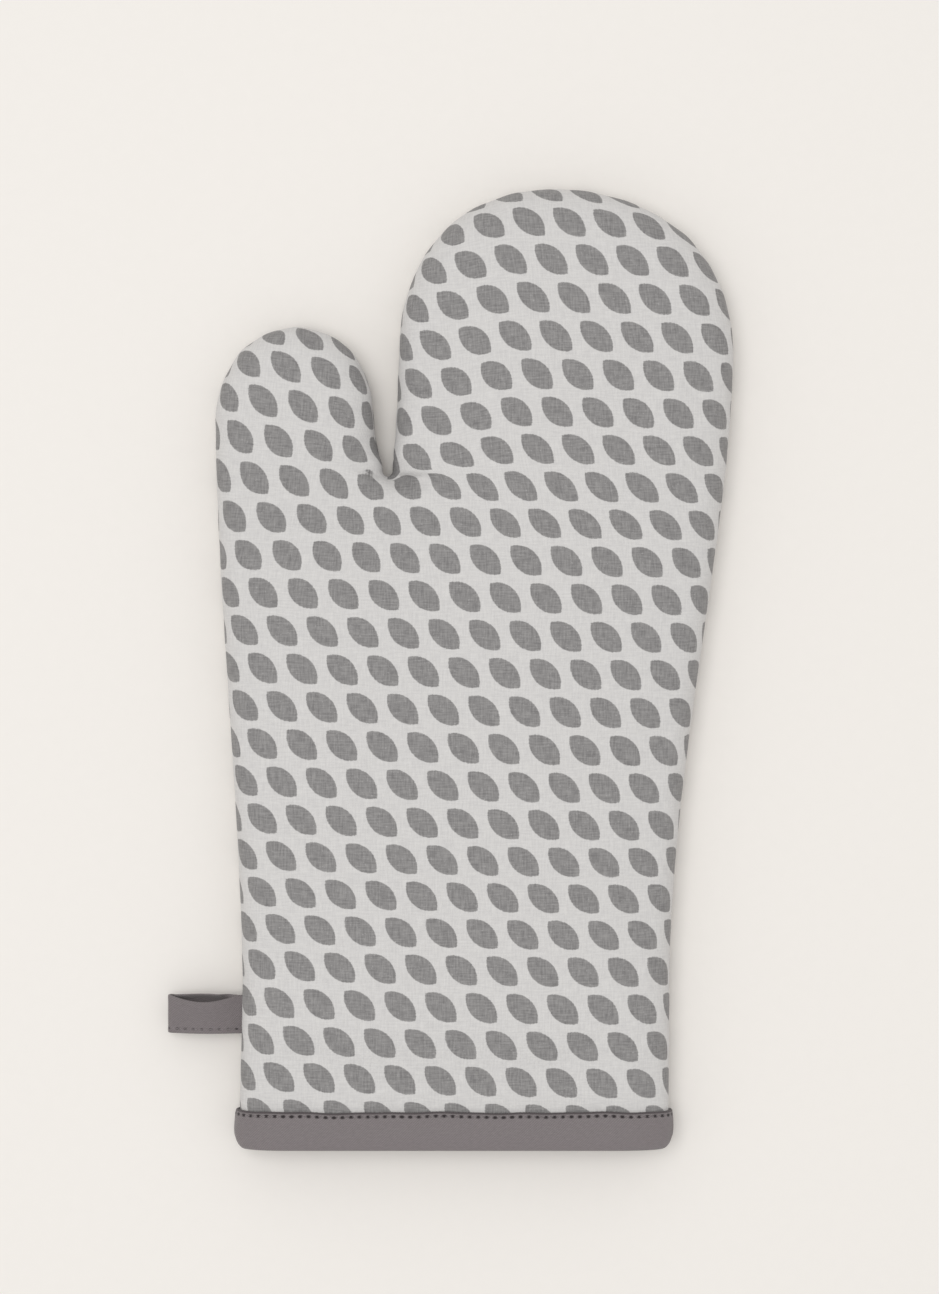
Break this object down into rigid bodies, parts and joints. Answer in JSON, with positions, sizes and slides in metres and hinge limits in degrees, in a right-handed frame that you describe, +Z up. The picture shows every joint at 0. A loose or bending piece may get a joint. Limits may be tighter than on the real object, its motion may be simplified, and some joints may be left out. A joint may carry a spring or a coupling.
{
  "type": "oven mitt",
  "caption": "Padded mitt with thumb and finger pockets, a tape-bound cuff and a side hanging loop, for holding hot dishes.",
  "frame": {"origin": "middle of the part's outline, on the surface that it lies on", "axes": "+X from the thumb side to the finger side, +Y from the cuff to the fingertips, +Z up out of the printed front"},
  "size_m": [0.1948, 0.33, 0.023],
  "materials": {
    "printed_cotton": "plain-weave cotton, printed grey on pale grey",
    "lining_cotton": "undyed plain-weave cotton",
    "wadding": "needled polyester wadding",
    "grey_tape": "cotton twill tape",
    "seam_thread": "spun polyester thread",
    "grey_thread": "spun polyester thread"
  },
  "bodies": {
    "mitt": {"front_outer_panel": "printed_cotton", "back_outer_panel": "printed_cotton", "front_wadding": "wadding", "back_wadding": "wadding", "front_lining": "lining_cotton", "back_lining": "lining_cotton", "side_seam_needle_thread": "seam_thread", "side_seam_bobbin_thread": "seam_thread", "lining_seam_needle_thread": "seam_thread", "lining_seam_bobbin_thread": "seam_thread", "cuff_binding": "grey_tape", "binding_needle_thread": "grey_thread", "binding_bobbin_thread": "grey_thread", "loop_sewn_ends": "grey_tape"},
    "loop": {"hanging_loop": "grey_tape", "loop_edge_thread": "grey_thread"}
  },
  "joints": [
    {"name": "loop_swing", "type": "hinge", "parent": "mitt", "child": "loop", "pos_m": [-0.0729, -0.1192, 0.0095], "axis": [0, 1, 0], "range_deg": [-70, 80]}
  ]
}
